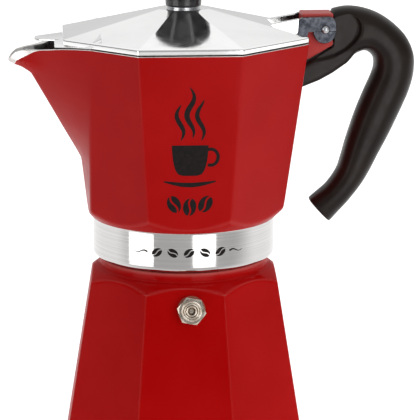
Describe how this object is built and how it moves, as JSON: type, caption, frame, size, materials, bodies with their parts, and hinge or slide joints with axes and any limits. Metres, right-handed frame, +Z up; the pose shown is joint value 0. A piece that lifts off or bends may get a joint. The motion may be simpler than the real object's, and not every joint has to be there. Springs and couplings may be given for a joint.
{
  "type": "moka pot",
  "caption": "Eight-sided stove-top coffee maker: screw-joined boiler and spouted collector, hinged lid with knob, side grip, safety valve, funnel, seal and filter plate.",
  "frame": {"origin": "centre of the boiler's flat base, on the surface it stands on", "axes": "+Z up, +X towards the handle, -X towards the spout, safety valve on the -Y side"},
  "size_m": [0.1661, 0.1054, 0.2172],
  "materials": {
    "red_enamel": "glossy translucent red coat over cast aluminium",
    "polished_aluminium": "polished, mirror-like",
    "aluminium": "plain spun or cast aluminium",
    "nickel": "nickel-plated brass, warm and slightly worn",
    "brass": "turned brass",
    "steel": "stainless steel",
    "fibre": "dull red sealing ring",
    "seal_rubber": "off-white silicone rubber",
    "dark_plastic": "satin dark brown-black moulded phenolic"
  },
  "bodies": {
    "boiler": {"boiler": "red_enamel", "valve_body": "nickel", "valve_seal": "fibre", "valve_retainer": "brass", "valve_spring": "steel"},
    "valve_pin": {"valve_plunger": "nickel"},
    "funnel": {"funnel_basket": "aluminium", "funnel_strainer": "aluminium", "funnel_tube": "aluminium"},
    "seal": {"gasket": "seal_rubber", "filter_plate": "aluminium"},
    "collector": {"collector": "red_enamel", "riser_column": "aluminium", "hinge_pin": "steel", "handle": "dark_plastic", "handle_screw": "steel"},
    "lid": {"lid": "polished_aluminium", "lid_knob": "dark_plastic", "knob_washer": "steel", "knob_screw": "steel"}
  },
  "joints": [
    {"name": "collector_lift", "type": "slide", "parent": "boiler", "child": "seal", "axis": [0, 0, 1], "range_m": [0, 0.2]},
    {"name": "collector_turn", "type": "hinge", "parent": "seal", "child": "collector", "pos_m": [0, 0, 0.1], "axis": [0, 0, 1], "range_deg": [0, 720]},
    {"name": "lid_hinge", "type": "hinge", "parent": "collector", "child": "lid", "pos_m": [0.0569, 0, 0.1882], "axis": [0, 1, 0], "range_deg": [0, 105]},
    {"name": "funnel_lift", "type": "slide", "parent": "boiler", "child": "funnel", "axis": [0, 0, 1], "range_m": [0, 0.11]},
    {"name": "valve_press", "type": "slide", "parent": "boiler", "child": "valve_pin", "axis": [-0.037, -0.9868, 0.1579], "range_m": [0, 0.0016], "stiffness_N_per_m": 600, "deforming": ["valve_spring"]}
  ],
  "couplings": [
    {"joint": "funnel_lift", "follows": "collector_lift", "ratio": 0.55}
  ]
}
